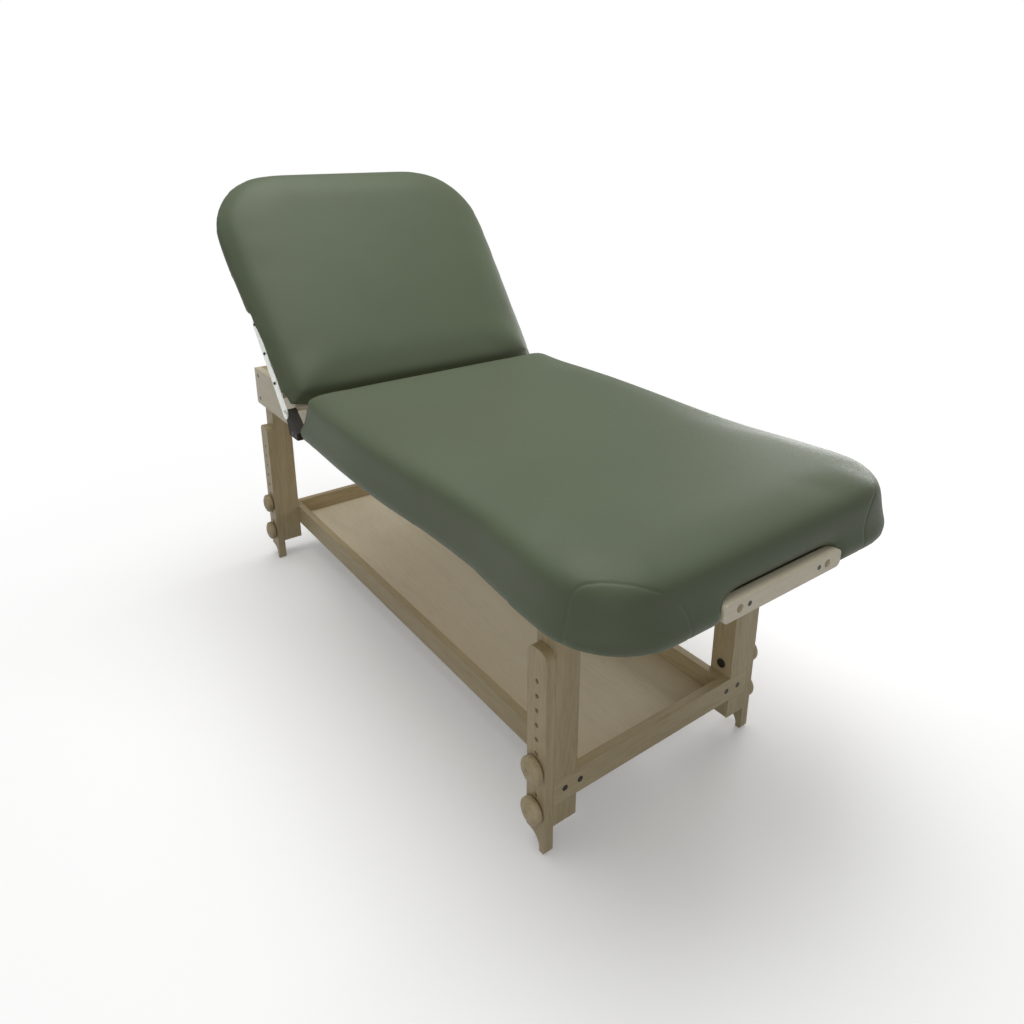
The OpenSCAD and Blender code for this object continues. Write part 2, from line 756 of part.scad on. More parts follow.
// A bolt along X whose head is sunk flush in the tray bar's face at x; side is 1 at the foot end
module tray_bolt(x, y, side) {
    sunk = frame_bolt_head / 3;
    translate([x, y, tray_bolt_z]) rotate([0, -90 * side, 0]) {
        cylinder(d = frame_bolt_diameter, h = frame_bolt_length, $fn = 48);
        difference() {
            cylinder(d = frame_bolt_head, h = sunk, $fn = 48);
            translate([0, 0, -sunk / 2]) cylinder(d = frame_bolt_head / 2, h = sunk, $fn = 6);
        }
    }
}

module tray_bolt_hole(x, y, side) {
    sunk = frame_bolt_head / 3 + drill_clearance;
    translate([x, y, tray_bolt_z]) rotate([0, -90 * side, 0]) {
        translate([0, 0, -overrun])
            cylinder(d = frame_bolt_diameter + 2 * drill_clearance,
                h = frame_bolt_length + drill_clearance + overrun, $fn = 48);
        translate([0, 0, -overrun])
            cylinder(d = frame_bolt_head + 2 * drill_clearance, h = sunk + overrun, $fn = 48);
    }
}

module tray_rail() color(pale_wood) difference() {
    box([tray_head, post_in - tray_rail_thickness, tray_bottom],
        [tray_foot, post_in, tray_bottom + tray_rail_height]);
    box([tray_head - overrun, post_in - tray_rail_thickness - overrun, shelf_z - gap],
        [tray_foot + overrun, post_in - tray_rail_thickness + shelf_groove + gap,
            shelf_z + shelf_thickness + gap]);
    tray_bolt_hole(head_x, tray_rail_middle, -1);
    tray_bolt_hole(foot_leg_x, tray_rail_middle, 1);
}

module left_tray_rail() tray_rail();
module right_tray_rail() mirror([0, 1, 0]) tray_rail();

// Crossbar at the head end, with side -1, or the foot end, with side 1
module tray_bar(face, side) color(wood) difference() {
    inner = face - side * tray_rail_thickness;
    box([min(face, inner), -post_out, tray_bottom],
        [max(face, inner), post_out, tray_bottom + tray_rail_height]);
    both_ways() {
        tray_bolt_hole(face, post_middle, side);
        tray_bolt_hole(face, tray_rail_middle, side);
    }
}

module head_tray_bar() tray_bar(head_x, -1);
module foot_tray_bar() tray_bar(foot_leg_x, 1);

module shelf_panel() color(ply) {
    y = post_in - tray_rail_thickness + shelf_groove;
    box([tray_head + gap, -y, shelf_z], [tray_foot - gap, y, shelf_z + shelf_thickness]);
}

module tray_bolts() color(dark_steel) both_ways() {
    for (y = [post_middle, tray_rail_middle]) {
        tray_bolt(head_x, y, -1);
        tray_bolt(foot_leg_x, y, 1);
    }
}

// Back: drawn flat, with x the distance from the hinge axis and z the height above it

// A plain slab of the back's outline with a rounded top edge
module back_slab() {
    hull() {
        linear_extrude(back_thickness - top_edge_radius) polygon(back_outline);
        for (a = [30, 60, 90])
            translate([0, 0, back_thickness - top_edge_radius * (1 - sin(a)) - gap])
                linear_extrude(gap)
                    polygon(inset_outline(back_outline, top_edge_radius * (1 - cos(a)), true));
    }
}

module back_cushion() color(vinyl) on_back() difference() {
    translate([0, 0, -board_thickness / 2]) back_slab();
    // the board's pocket runs on to the hinge, and out to the sides beside the straps
    translate([0, 0, -board_thickness])
        linear_extrude(board_thickness * 3 / 2 + gap) {
            offset(delta = gap) board_shape(back_outline, -overrun);
            for (side = [-1, 1])
                scale([1, side])
                    translate([-overrun, strap_y - board_inset - lug_thickness])
                        square([strap_run + gap + overrun,
                            widest_half - strap_y + board_inset + lug_thickness + overrun]);
        }
    // room for the lugs and the straps
    both_ways() {
        box([-overrun, strap_y - board_inset - lug_thickness, -board_thickness],
            [pad_start + gap, widest_half + overrun, strap_width / 2 + gap]);
        box([-overrun, strap_y - gap, -board_thickness],
            [strap_run + gap, widest_half + overrun, strap_width / 2 + gap]);
    }
}

module back_board() color(ply) on_back() difference() {
    union() {
        translate([0, 0, -board_thickness / 2])
            linear_extrude(board_thickness)
                board_shape(back_outline, back_board_start);
        both_ways() {
            box([pad_start, strap_y - board_inset - lug_thickness, -board_thickness / 2],
                [strap_run - gap, strap_y, board_thickness / 2]);
        }
    }
    // room for the lugs and the straps
    both_ways() {
        box([-overrun, strap_y, -board_thickness], [strap_run + gap, widest_half + overrun, board_thickness]);
        box([-overrun, strap_y - lug_thickness - 2 * gap, -board_thickness],
            [pad_start, strap_y + overrun, board_thickness]);
        for (i = [1:strap_screws_each])
            strap_screw_place(i)
                cylinder(d = screw_diameter + 2 * drill_clearance,
                    h = screw_length + drill_clearance, $fn = 48);
    }
    both_ways() {
        for (x = bracket_screw_places)
            translate([x, prop_spread / 2, -board_thickness / 2 - overrun])
                cylinder(d = screw_diameter + 2 * drill_clearance,
                    h = board_thickness / 2 + overrun, $fn = 48);
    }
}

// Places the start of a strap's screw at the strap's outer face, pointing inwards
module strap_screw_place(i) {
    translate([i * strap_pitch, strap_y + strap_thickness, 0]) rotate([90, 0, 0]) children();
}

module hinge_strap() color(steel) on_back() difference() {
    translate([0, strap_y + strap_thickness, 0]) rotate([90, 0, 0])
        linear_extrude(strap_thickness)
            hull() {
                circle(d = strap_width, $fn = 48);
                translate([strap_run - strap_width, 0]) circle(d = strap_width, $fn = 48);
            }
    rod_y(pivot_diameter + 2 * turning_clearance, strap_thickness + 2 * overrun,
        [0, strap_y - overrun, 0]);
    for (i = [1:strap_screws_each])
        strap_screw_place(i)
            translate([0, 0, -overrun])
                cylinder(d = screw_diameter + 2 * drill_clearance,
                    h = strap_thickness + 2 * overrun, $fn = 48);
}

module left_hinge_strap() hinge_strap();
module right_hinge_strap() mirror([0, 1, 0]) hinge_strap();

module strap_screws() color(dark_steel) on_back() both_ways() {
    for (i = [1:strap_screws_each])
        strap_screw_place(i) {
            cylinder(d = screw_diameter, h = screw_length, $fn = 48);
            translate([0, 0, -screw_head / 3])
                cylinder(d1 = screw_head / 2, d2 = screw_head, h = screw_head / 3, $fn = 48);
        }
}

// Prop: brackets under the back board, two flat arms and a rod that lies in the racks

bracket_plate = 3;
bracket_length = 66;
bracket_width = prop_arm_thickness + 2 * gap + 2 * bracket_plate;
bracket_screw_places = [for (s = [-1, 1]) prop_from_hinge + s * bracket_length / 3];

module prop_brackets() color(steel) on_back() both_ways() {
    under = -board_thickness / 2;
    translate([prop_from_hinge, prop_spread / 2, 0]) difference() {
        union() {
            box([-bracket_length / 2, -bracket_width, under - bracket_plate],
                [bracket_length / 2, bracket_width, under]);
            for (s = [-1, 1])
                translate([0, s * (bracket_width - bracket_plate) / 2 + bracket_plate / 2, 0])
                    rotate([90, 0, 0])
                        linear_extrude(bracket_plate)
                            hull() {
                                translate([0, -prop_offset]) circle(d = prop_arm_width, $fn = 48);
                                translate([-bracket_length / 4, under - bracket_plate])
                                    square([bracket_length / 2, bracket_plate / 2]);
                            }
        }
        rod_y(pivot_diameter, bracket_width + 2 * overrun,
            [0, -bracket_width / 2 - overrun, -prop_offset]);
        for (s = [-1, 1])
            translate([s * bracket_length / 3, 0, under - bracket_plate - overrun])
                cylinder(d = screw_diameter, h = bracket_plate + 2 * overrun, $fn = 48);
    }
}

module prop_pins() color(dark_steel) on_back() both_ways() {
    length = bracket_width + 2 * gap;
    translate([prop_from_hinge, prop_spread / 2 - length / 2, -prop_offset]) {
        rod_y(pivot_diameter, length, [0, 0, 0]);
        rod_y(1.5 * pivot_diameter, bracket_plate, [0, -bracket_plate, 0]);
        rod_y(1.5 * pivot_diameter, bracket_plate, [0, length, 0]);
    }
}

prop_rest_slope = prop_slope(back_tilt);

module on_prop() {
    translate([hinge_x + prop_pivot_x(back_tilt), 0, prop_pivot_z(back_tilt)])
        rotate([0, -prop_rest_slope, 0])
            mirror([1, 0, 0])
                children();
}

module prop_arm() color(steel) on_prop() difference() {
    translate([0, (prop_spread + prop_arm_thickness) / 2, 0]) rotate([90, 0, 0])
        linear_extrude(prop_arm_thickness)
            hull() {
                circle(d = prop_arm_width, $fn = 48);
                translate([prop_length, 0]) circle(d = prop_arm_width, $fn = 48);
            }
    rod_y(pivot_diameter + 2 * turning_clearance, prop_arm_thickness + 2 * overrun,
        [0, (prop_spread - prop_arm_thickness) / 2 - overrun, 0]);
    rod_y(prop_rod_diameter, prop_arm_thickness + 2 * overrun,
        [prop_length, (prop_spread - prop_arm_thickness) / 2 - overrun, 0]);
}

module left_prop_arm() prop_arm();
module right_prop_arm() mirror([0, 1, 0]) prop_arm();

module prop_rod() color(steel) on_prop() {
    reach = post_out - rack_gap;
    rod_y(prop_rod_diameter, 2 * reach, [prop_length, -reach, 0]);
}

seat_cushion();
seat_board();
face_rest_bar();
face_rest_block();
face_rest_screws();
left_apron();
right_apron();
head_rail();
hinge_rail();
middle_rail();
foot_rail();
left_rack();
right_rack();
frame_bolts();
left_hinge_lug();
right_hinge_lug();
lug_screws();
head_left_post();
head_right_post();
foot_left_post();
foot_right_post();
leg_bolts();
left_tray_rail();
right_tray_rail();
head_tray_bar();
foot_tray_bar();
shelf_panel();
tray_bolts();
hinge_bolts();
back_cushion();
back_board();
left_hinge_strap();
right_hinge_strap();
strap_screws();
prop_brackets();
prop_pins();
left_prop_arm();
right_prop_arm();
prop_rod();
head_left_extension();
head_right_extension();
foot_left_extension();
foot_right_extension();
head_left_upper_knob();
head_left_lower_knob();
head_right_upper_knob();
head_right_lower_knob();
foot_left_upper_knob();
foot_left_lower_knob();
foot_right_upper_knob();
foot_right_lower_knob();
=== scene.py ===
import bpy
import bmesh
import json
import math
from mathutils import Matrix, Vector
from mathutils.bvhtree import BVHTree
from mathutils.kdtree import KDTree


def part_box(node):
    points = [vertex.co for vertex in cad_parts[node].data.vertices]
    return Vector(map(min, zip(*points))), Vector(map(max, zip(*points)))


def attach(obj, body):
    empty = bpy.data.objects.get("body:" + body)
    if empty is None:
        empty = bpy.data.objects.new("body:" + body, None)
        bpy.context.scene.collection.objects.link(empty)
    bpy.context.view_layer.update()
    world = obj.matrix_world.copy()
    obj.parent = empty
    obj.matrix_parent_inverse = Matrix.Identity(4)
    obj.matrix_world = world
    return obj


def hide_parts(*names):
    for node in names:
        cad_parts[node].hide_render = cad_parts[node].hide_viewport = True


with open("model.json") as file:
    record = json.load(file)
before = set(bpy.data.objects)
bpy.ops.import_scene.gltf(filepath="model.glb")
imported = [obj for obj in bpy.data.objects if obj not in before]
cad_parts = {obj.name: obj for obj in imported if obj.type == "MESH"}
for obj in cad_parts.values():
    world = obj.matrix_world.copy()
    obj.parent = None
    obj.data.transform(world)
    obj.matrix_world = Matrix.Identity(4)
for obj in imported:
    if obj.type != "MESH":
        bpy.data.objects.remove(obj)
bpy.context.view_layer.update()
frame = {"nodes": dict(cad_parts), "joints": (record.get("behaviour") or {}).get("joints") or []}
joints = {j["name"]: j for j in frame["joints"]}
hinge = Vector(joints["back_tilt"]["pos_m"])  # the axis that the back turns about, along Y
restTilt = math.radians(50)                   # tilt of the back as it stands

# camera, lights, floor
cameraLook = {
    "place": (1.3924, -0.9608, 1.2228),
    "yaw": 143.95,       # degrees from +X to the way the camera looks
    "pitch": 18.65,      # degrees that it looks down
    "imagePixels": 1024,
    "focalPixels": 791.8,
    "axisRow": 400.0,    # pixel row that the optical axis goes through
    "sensor": 36,        # millimetres
    "clipEnd": 60,
}


def makeCamera(look):
    cam = bpy.data.cameras.new("studioCamera")
    cam.sensor_width = look["sensor"]
    cam.lens = look["focalPixels"] * look["sensor"] / look["imagePixels"]
    cam.shift_y = (look["axisRow"] - look["imagePixels"] / 2) / look["imagePixels"]
    cam.clip_end = look["clipEnd"]
    ob = bpy.data.objects.new("studioCamera", cam)
    ob.location = look["place"]
    ob.rotation_euler = (math.radians(90 - look["pitch"]), 0, math.radians(look["yaw"] - 90))
    bpy.context.scene.collection.objects.link(ob)
    bpy.context.scene.camera = ob


lampLooks = {
    "skyPanel": {"place": (-0.45, -0.1, 3.6), "target": (-0.3, 0, 0.5), "size": (3.2, 2.6), "watts": 82},
    "sidePanel": {"place": (2.8, -2.6, 1.3), "target": (0, 0, 0.25), "size": (1.8, 1.6), "watts": 12},
    # reaches the shelf below the top
    "farPanel": {"place": (-0.4, 2.8, 1.0), "target": (-0.1, 0, 0.15), "size": (1.8, 1.0), "watts": 34},
}
worldStrength = 0.30  # what the surroundings add to the lamps


def makeLamp(name, look):
    lamp = bpy.data.lights.new(name, "AREA")
    lamp.shape = "RECTANGLE"
    lamp.size, lamp.size_y = look["size"]
    lamp.energy = look["watts"]
    ob = bpy.data.objects.new(name, lamp)
    ob.location = look["place"]
    ob.rotation_euler = (Vector(look["target"]) - Vector(look["place"])).to_track_quat("-Z", "Y").to_euler()
    bpy.context.scene.collection.objects.link(ob)


def seenWhite(tree, shader):  # white to the camera and through clear pieces, the shader to other rays
    path = tree.nodes.new("ShaderNodeLightPath")
    most = tree.nodes.new("ShaderNodeMath")
    most.operation = "MAXIMUM"
    tree.links.new(path.outputs["Is Camera Ray"], most.inputs[0])
    tree.links.new(path.outputs["Is Transmission Ray"], most.inputs[1])
    glow = tree.nodes.new("ShaderNodeBackground")
    glow.inputs["Color"].default_value = (1, 1, 1, 1)
    glow.inputs["Strength"].default_value = 1
    mix = tree.nodes.new("ShaderNodeMixShader")
    tree.links.new(most.outputs[0], mix.inputs["Fac"])
    tree.links.new(shader, mix.inputs[1])
    tree.links.new(glow.outputs[0], mix.inputs[2])
    return mix.outputs[0]


def makeWorld(strength):
    world = bpy.data.worlds.new("studioWorld")
    bpy.context.scene.world = world
    world.use_nodes = True
    tree = world.node_tree
    back = tree.nodes["Background"]
    back.inputs["Color"].default_value = (1, 1, 1, 1)
    back.inputs["Strength"].default_value = strength
    tree.links.new(seenWhite(tree, back.outputs[0]), tree.nodes["World Output"].inputs["Surface"])


floorLook = {
    "halfSize": 40.0,
    "seenTone": 0.95,      # what the camera sees, before the shadow
    "bounceTone": 0.34,    # what lights the object from below
    "seenLift": 0.17,      # keeps the shadow pale
    "fadeFrom": 0.75,      # metres from the middle at which the floor starts to fade to white
    "fadeTo": 2.0,
}


def makeFloor(look):
    bm = bmesh.new()
    bmesh.ops.create_grid(bm, x_segments=8, y_segments=8, size=look["halfSize"])
    me = bpy.data.meshes.new("studioFloor")
    bm.to_mesh(me)
    bm.free()
    ob = bpy.data.objects.new("studioFloor", me)
    bpy.context.scene.collection.objects.link(ob)
    mat = bpy.data.materials.new("studioFloor")
    mat.use_nodes = True
    tree = mat.node_tree
    tree.nodes.remove(tree.nodes["Principled BSDF"])
    path = tree.nodes.new("ShaderNodeLightPath")
    seen = tree.nodes.new("ShaderNodeMath")
    seen.operation = "MAXIMUM"
    tree.links.new(path.outputs["Is Camera Ray"], seen.inputs[0])
    tree.links.new(path.outputs["Is Glossy Ray"], seen.inputs[1])
    coord = tree.nodes.new("ShaderNodeTexCoord")
    away = tree.nodes.new("ShaderNodeVectorMath")
    away.operation = "LENGTH"
    tree.links.new(coord.outputs["Object"], away.inputs[0])
    fade = tree.nodes.new("ShaderNodeMapRange")
    fade.interpolation_type = "SMOOTHSTEP"
    fade.inputs["From Min"].default_value = look["fadeFrom"]
    fade.inputs["From Max"].default_value = look["fadeTo"]
    tree.links.new(away.outputs["Value"], fade.inputs["Value"])
    faded = tree.nodes.new("ShaderNodeMath")
    faded.operation = "MULTIPLY"
    tree.links.new(fade.outputs[0], faded.inputs[0])
    tree.links.new(seen.outputs[0], faded.inputs[1])
    shades = []
    for tone in (look["bounceTone"], look["seenTone"]):
        diffuse = tree.nodes.new("ShaderNodeBsdfDiffuse")
        diffuse.inputs["Color"].default_value = (tone, tone, tone, 1)
        shades.append(diffuse.outputs[0])
    white = tree.nodes.new("ShaderNodeEmission")
    shades.append(white.outputs[0])
    glow = tree.nodes.new("ShaderNodeEmission")
    glow.inputs["Strength"].default_value = look["seenLift"]
    lifted = tree.nodes.new("ShaderNodeAddShader")
    tree.links.new(shades[1], lifted.inputs[0])
    tree.links.new(glow.outputs[0], lifted.inputs[1])
    near = tree.nodes.new("ShaderNodeMixShader")
    tree.links.new(seen.outputs[0], near.inputs["Fac"])
    tree.links.new(shades[0], near.inputs[1])
    tree.links.new(lifted.outputs[0], near.inputs[2])
    far = tree.nodes.new("ShaderNodeMixShader")
    tree.links.new(faded.outputs[0], far.inputs["Fac"])
    tree.links.new(near.outputs[0], far.inputs[1])
    tree.links.new(shades[2], far.inputs[2])
    tree.links.new(far.outputs[0], tree.nodes["Material Output"].inputs["Surface"])
    me.materials.append(mat)


scene = bpy.context.scene
scene.view_settings.view_transform = "Standard"
makeCamera(cameraLook)
makeWorld(worldStrength)
for lampName, lampLook in lampLooks.items():
    makeLamp(lampName, lampLook)
makeFloor(floorLook)
print("stage ready")


# material helpers
def newMaterial(name):
    mat = bpy.data.materials.new(name)
    mat.use_nodes = True
    tree = mat.node_tree
    return mat, tree, tree.nodes["Principled BSDF"]


def addNode(tree, kind, **values):
    n = tree.nodes.new(kind)
    for key, value in values.items():
        n.inputs[key].default_value = value
    return n


def place(tree, scale=(1, 1, 1)):  # object coordinates through a mapping
    coord = tree.nodes.new("ShaderNodeTexCoord")
    mapping = tree.nodes.new("ShaderNodeMapping")
    mapping.inputs["Scale"].default_value = scale
    tree.links.new(coord.outputs["Object"], mapping.inputs["Vector"])
    return mapping.outputs["Vector"]


def noise(tree, vector, scale, detail=4.0, rough=0.55, warp=0.0):
    n = addNode(tree, "ShaderNodeTexNoise", Scale=scale, Detail=detail, Roughness=rough, Distortion=warp)
    tree.links.new(vector, n.inputs["Vector"])
    return n.outputs["Fac"]


def ramp(tree, factor, stops):
    n = tree.nodes.new("ShaderNodeValToRGB")
    elements = n.color_ramp.elements
    while len(elements) < len(stops):
        elements.new(0.5)
    for e, (position, colour) in zip(elements, stops):
        e.position = position
        e.color = (*colour, 1)
    tree.links.new(factor, n.inputs["Fac"])
    return n.outputs["Color"]


def mathNode(tree, kind, a, b=None, clamp=False):
    n = tree.nodes.new("ShaderNodeMath")
    n.operation = kind
    n.use_clamp = clamp
    for slot, value in zip(n.inputs, (a, b)):
        if value is None:
            continue
        if isinstance(value, (int, float)):
            slot.default_value = value
        else:
            tree.links.new(value, slot)
    return n.outputs[0]


def mixColour(tree, kind, factor, a, b):
    n = tree.nodes.new("ShaderNodeMix")
    n.data_type = "RGBA"
    n.blend_type = kind
    for slot, value in zip((n.inputs["Factor"], n.inputs[6], n.inputs[7]), (factor, a, b)):
        if isinstance(value, (int, float)):
            slot.default_value = value
        elif isinstance(value, tuple):
            slot.default_value = (*value, 1)
        else:
            tree.links.new(value, slot)
    return n.outputs[2]


def bumpFrom(tree, shader, heights, easedEdge=0.0):  # heights: list of (height, strength, distance)
    normal = None
    if easedEdge:
        bevel = tree.nodes.new("ShaderNodeBevel")
        bevel.samples = 6
        bevel.inputs["Radius"].default_value = easedEdge
        normal = bevel.outputs["Normal"]
    for height, strength, distance in heights:
        n = tree.nodes.new("ShaderNodeBump")
        n.inputs["Strength"].default_value = strength
        n.inputs["Distance"].default_value = distance
        tree.links.new(height, n.inputs["Height"])
        if normal is not None:
            tree.links.new(normal, n.inputs["Normal"])
        normal = n.outputs["Normal"]
    tree.links.new(normal, shader.inputs["Normal"])


# wood
grainLook = {  # what all the woods share
    "stretch": 0.09,                                        # scale of the pattern along the board
    "ringShare": 0.62, "broadShare": 0.38,
    "poreStops": [(0.36, (0.78, 0.76, 0.73)), (0.52, (1, 1, 1))],
    "rougher": 0.1, "smoother": 0.06, "specular": 0.35, "coatRough": 0.35,
    "poreBump": (0.25, 0.0004), "ringBump": (0.12, 0.0006),  # strength, and depth in metres
}


def makeWood(name, axis, look):
    mat, tree, shader = newMaterial(name)
    stretch = tuple(grainLook["stretch"] if letter == axis else 1 for letter in "xyz")
    along = place(tree, scale=stretch)
    broad = noise(tree, along, look["broad"], 3, 0.5, 0.4)      # slow drift of tone across the board
    rings = noise(tree, along, look["rings"], 5, 0.6, 1.2)      # growth rings, stretched along the board
    fine = noise(tree, along, look["fine"], 6, 0.7)             # pores and fibres
    tone = mathNode(tree, "ADD", mathNode(tree, "MULTIPLY", rings, grainLook["ringShare"]),
                    mathNode(tree, "MULTIPLY", broad, grainLook["broadShare"]))
    colour = ramp(tree, tone, look["stops"])
    pores = ramp(tree, fine, grainLook["poreStops"])
    colour = mixColour(tree, "MULTIPLY", look["poreDepth"], colour, pores)
    tree.links.new(colour, shader.inputs["Base Color"])
    rough = ramp(tree, fine, [(0.3, (look["rough"] + grainLook["rougher"],) * 3),
                              (0.7, (look["rough"] - grainLook["smoother"],) * 3)])
    tree.links.new(rough, shader.inputs["Roughness"])
    shader.inputs["Specular IOR Level"].default_value = grainLook["specular"]
    shader.inputs["Coat Weight"].default_value = look["coat"]
    shader.inputs["Coat Roughness"].default_value = grainLook["coatRough"]
    bumpFrom(tree, shader, [(fine, *grainLook["poreBump"]), (rings, *grainLook["ringBump"])],
             easedEdge=look["easedEdge"])
    return mat


legWood = {
    "broad": 6.0, "rings": 26.0, "fine": 240.0,
    "poreDepth": 0.55, "rough": 0.5, "coat": 0.12, "easedEdge": 0.0022,
    "stops": [(0.30, (0.340, 0.268, 0.155)), (0.46, (0.480, 0.390, 0.230)),
              (0.58, (0.535, 0.440, 0.268)), (0.74, (0.610, 0.510, 0.325))],
}
paleWood = {
    "broad": 5.0, "rings": 22.0, "fine": 260.0,
    "poreDepth": 0.35, "rough": 0.48, "coat": 0.15, "easedEdge": 0.0018,
    "stops": [(0.30, (0.620, 0.540, 0.385)), (0.48, (0.710, 0.635, 0.465)),
              (0.62, (0.760, 0.690, 0.515)), (0.80, (0.810, 0.745, 0.580))],
}
lightWood = {
    "broad": 5.0, "rings": 22.0, "fine": 260.0,
    "poreDepth": 0.3, "rough": 0.45, "coat": 0.2, "easedEdge": 0.0018,
    "stops": [(0.30, (0.780, 0.690, 0.520)), (0.48, (0.850, 0.765, 0.590)),
              (0.62, (0.880, 0.800, 0.625)), (0.80, (0.910, 0.840, 0.680))],
}
# painted shade: near-black wood for pieces that sit in deep shade, not the wood's own colour
paintedShadeWoodLook = {
    "broad": 5.0, "rings": 22.0, "fine": 260.0,
    "poreDepth": 0.4, "rough": 0.7, "coat": 0.0, "easedEdge": 0.0,
    "stops": [(0.30, (0.020, 0.016, 0.012)), (0.48, (0.030, 0.024, 0.018)),
              (0.62, (0.036, 0.029, 0.021)), (0.80, (0.046, 0.037, 0.027))],
}
shelfWood = {
    "broad": 2.4, "rings": 9.0, "fine": 190.0,
    "poreDepth": 0.30, "rough": 0.5, "coat": 0.1, "easedEdge": 0.0,
    "stops": [(0.28, (0.680, 0.590, 0.425)), (0.46, (0.760, 0.680, 0.510)),
              (0.60, (0.800, 0.725, 0.550)), (0.78, (0.840, 0.775, 0.610))],
}


# metal
steelGrain = {
    "patches": 90, "dust": 900, "rougher": 0.08, "smoother": 0.05,
    "dustBump": (0.15, 0.00015), "easedEdge": 0.0006,
}


def makeSteel(name, colour, rough, mottle):  # mottle: how much darker the patches get
    mat, tree, shader = newMaterial(name)
    spot = place(tree)
    patch = noise(tree, spot, steelGrain["patches"], 5, 0.6)
    dust = noise(tree, spot, steelGrain["dust"], 3, 0.6)
    dark = tuple(c * (1 - mottle) for c in colour)
    tree.links.new(ramp(tree, patch, [(0.35, dark), (0.65, colour)]), shader.inputs["Base Color"])
    gloss = ramp(tree, patch, [(0.3, (rough + steelGrain["rougher"],) * 3),
                               (0.7, (rough - steelGrain["smoother"],) * 3)])
    tree.links.new(gloss, shader.inputs["Roughness"])
    shader.inputs["Metallic"].default_value = 1.0
    bumpFrom(tree, shader, [(dust, *steelGrain["dustBump"])], easedEdge=steelGrain["easedEdge"])
    return mat


zincSteel = makeSteel("zincSteel", (0.80, 0.82, 0.77), 0.42, 0.08)
oxideSteel = makeSteel("oxideSteel", (0.060, 0.055, 0.050), 0.42, 0.30)


# vinyl
def makeVinyl(name, look):
    mat, tree, shader = newMaterial(name)
    spot = place(tree)
    broad = noise(tree, spot, look["broad"], 3, 0.5)
    colour = ramp(tree, broad, [(0.3, look["shade"]), (0.7, look["light"])])
    cells = addNode(tree, "ShaderNodeTexVoronoi", Scale=look["grain"], Randomness=1.0)
    tree.links.new(spot, cells.inputs["Vector"])
    pits = cells.outputs["Distance"]
    creases = noise(tree, spot, look["grain"] * look["creaseShare"], 4, 0.6, 0.8)
    # painted shade: the colour darkens in the pits of the grain
    pitShadeTone = ramp(tree, pits, [(0.0, (0.93, 0.93, 0.93)), (0.45, (1, 1, 1))])
    colour = mixColour(tree, "MULTIPLY", look["pitShadeShare"], colour, pitShadeTone)
    # painted shade: a dark line along the seam's groove, on top of the real valley in the mesh
    seam = tree.nodes.new("ShaderNodeAttribute")
    seam.attribute_name = "seamDistance"
    gap = mathNode(tree, "ABSOLUTE", seam.outputs["Fac"])
    line = mathNode(tree, "DIVIDE", gap, look["seamHalfWidth"], clamp=True)  # 0 on the seam, 1 away from it
    colour = mixColour(tree, "MIX", line, look["seamGrooveShade"], colour)
    tree.links.new(colour, shader.inputs["Base Color"])
    gloss = ramp(tree, creases, [(0.3, (look["rough"] + look["rougher"],) * 3),
                                 (0.7, (look["rough"] - look["smoother"],) * 3)])
    tree.links.new(gloss, shader.inputs["Roughness"])
    shader.inputs["Specular IOR Level"].default_value = look["specular"]
    shader.inputs["Coat Weight"].default_value = look["coat"]
    shader.inputs["Coat Roughness"].default_value = look["coatRough"]
    valley = mathNode(tree, "DIVIDE", gap, look["seamHalfWidth"] * look["valleyWider"], clamp=True)
    bumpFrom(tree, shader, [(pits, *look["pitBump"]), (creases, *look["creaseBump"]),
                            (valley, *look["valleyBump"])])
    return mat


coverLook = {
    "light": (0.111, 0.137, 0.082), "shade": (0.103, 0.127, 0.076), "broad": 3.2,
    # the share of painted shade in the grain's pits
    "grain": 620.0, "creaseShare": 0.35, "pitShadeShare": 0.6,
    "rough": 0.50, "rougher": 0.06, "smoother": 0.05, "specular": 0.28, "coat": 0.03, "coatRough": 0.4,
    "pitBump": (0.22, 0.0004), "creaseBump": (0.18, 0.0006),  # strength, and depth in metres
    # the seam's dark line is painted shade in its groove
    "seamHalfWidth": 0.0013, "seamGrooveShade": (0.045, 0.057, 0.035), "valleyWider": 2.2, "valleyBump": (0.35, 0.0006),
}
coverVinyl = makeVinyl("coverVinyl", coverLook)
print("materials ready")


# CAD nodes: wood by the way each board runs
def dress(names, material):
    for name in names:
        ob = frame["nodes"][name]
        ob.data.materials.clear()
        ob.data.materials.append(material)


uprightWood = makeWood("uprightWood", "z", legWood)
lengthWood = makeWood("lengthWood", "x", legWood)
crossWood = makeWood("crossWood", "y", legWood)
paleLengthWood = makeWood("paleLengthWood", "x", paleWood)
outletWood = makeWood("outletWood", "y", lightWood)
shelfBoard = makeWood("shelfBoard", "x", shelfWood)
# painted shade: near-black material for the pieces in deep shade
paintedShadeWood = makeWood("paintedShadeWood", "x", paintedShadeWoodLook)
knobWood = makeWood("knobWood", "y", legWood)

ends = ("head_left", "head_right", "foot_left", "foot_right")
dress([e + "_post" for e in ends] + [e + "_extension" for e in ends], uprightWood)
knobNames = [e + "_" + k + "_knob" for e in ends for k in ("upper", "lower")]
dress(knobNames, knobWood)
dress(["left_tray_rail", "right_tray_rail"], lengthWood)
dress(["head_tray_bar", "foot_tray_bar", "head_rail", "hinge_rail", "middle_rail", "foot_rail"], crossWood)
dress(["left_apron", "right_apron", "left_rack", "right_rack"], paleLengthWood)
dress(["face_rest_bar"], outletWood)
dress(["face_rest_block", "left_hinge_lug", "right_hinge_lug"], paintedShadeWood)  # painted shade: near-black, as all three sit in deep shade
dress(["shelf_panel", "seat_board", "back_board"], shelfBoard)
dress(["left_hinge_strap", "right_hinge_strap", "hinge_bolts", "prop_brackets", "left_prop_arm",
       "right_prop_arm", "prop_rod"], zincSteel)
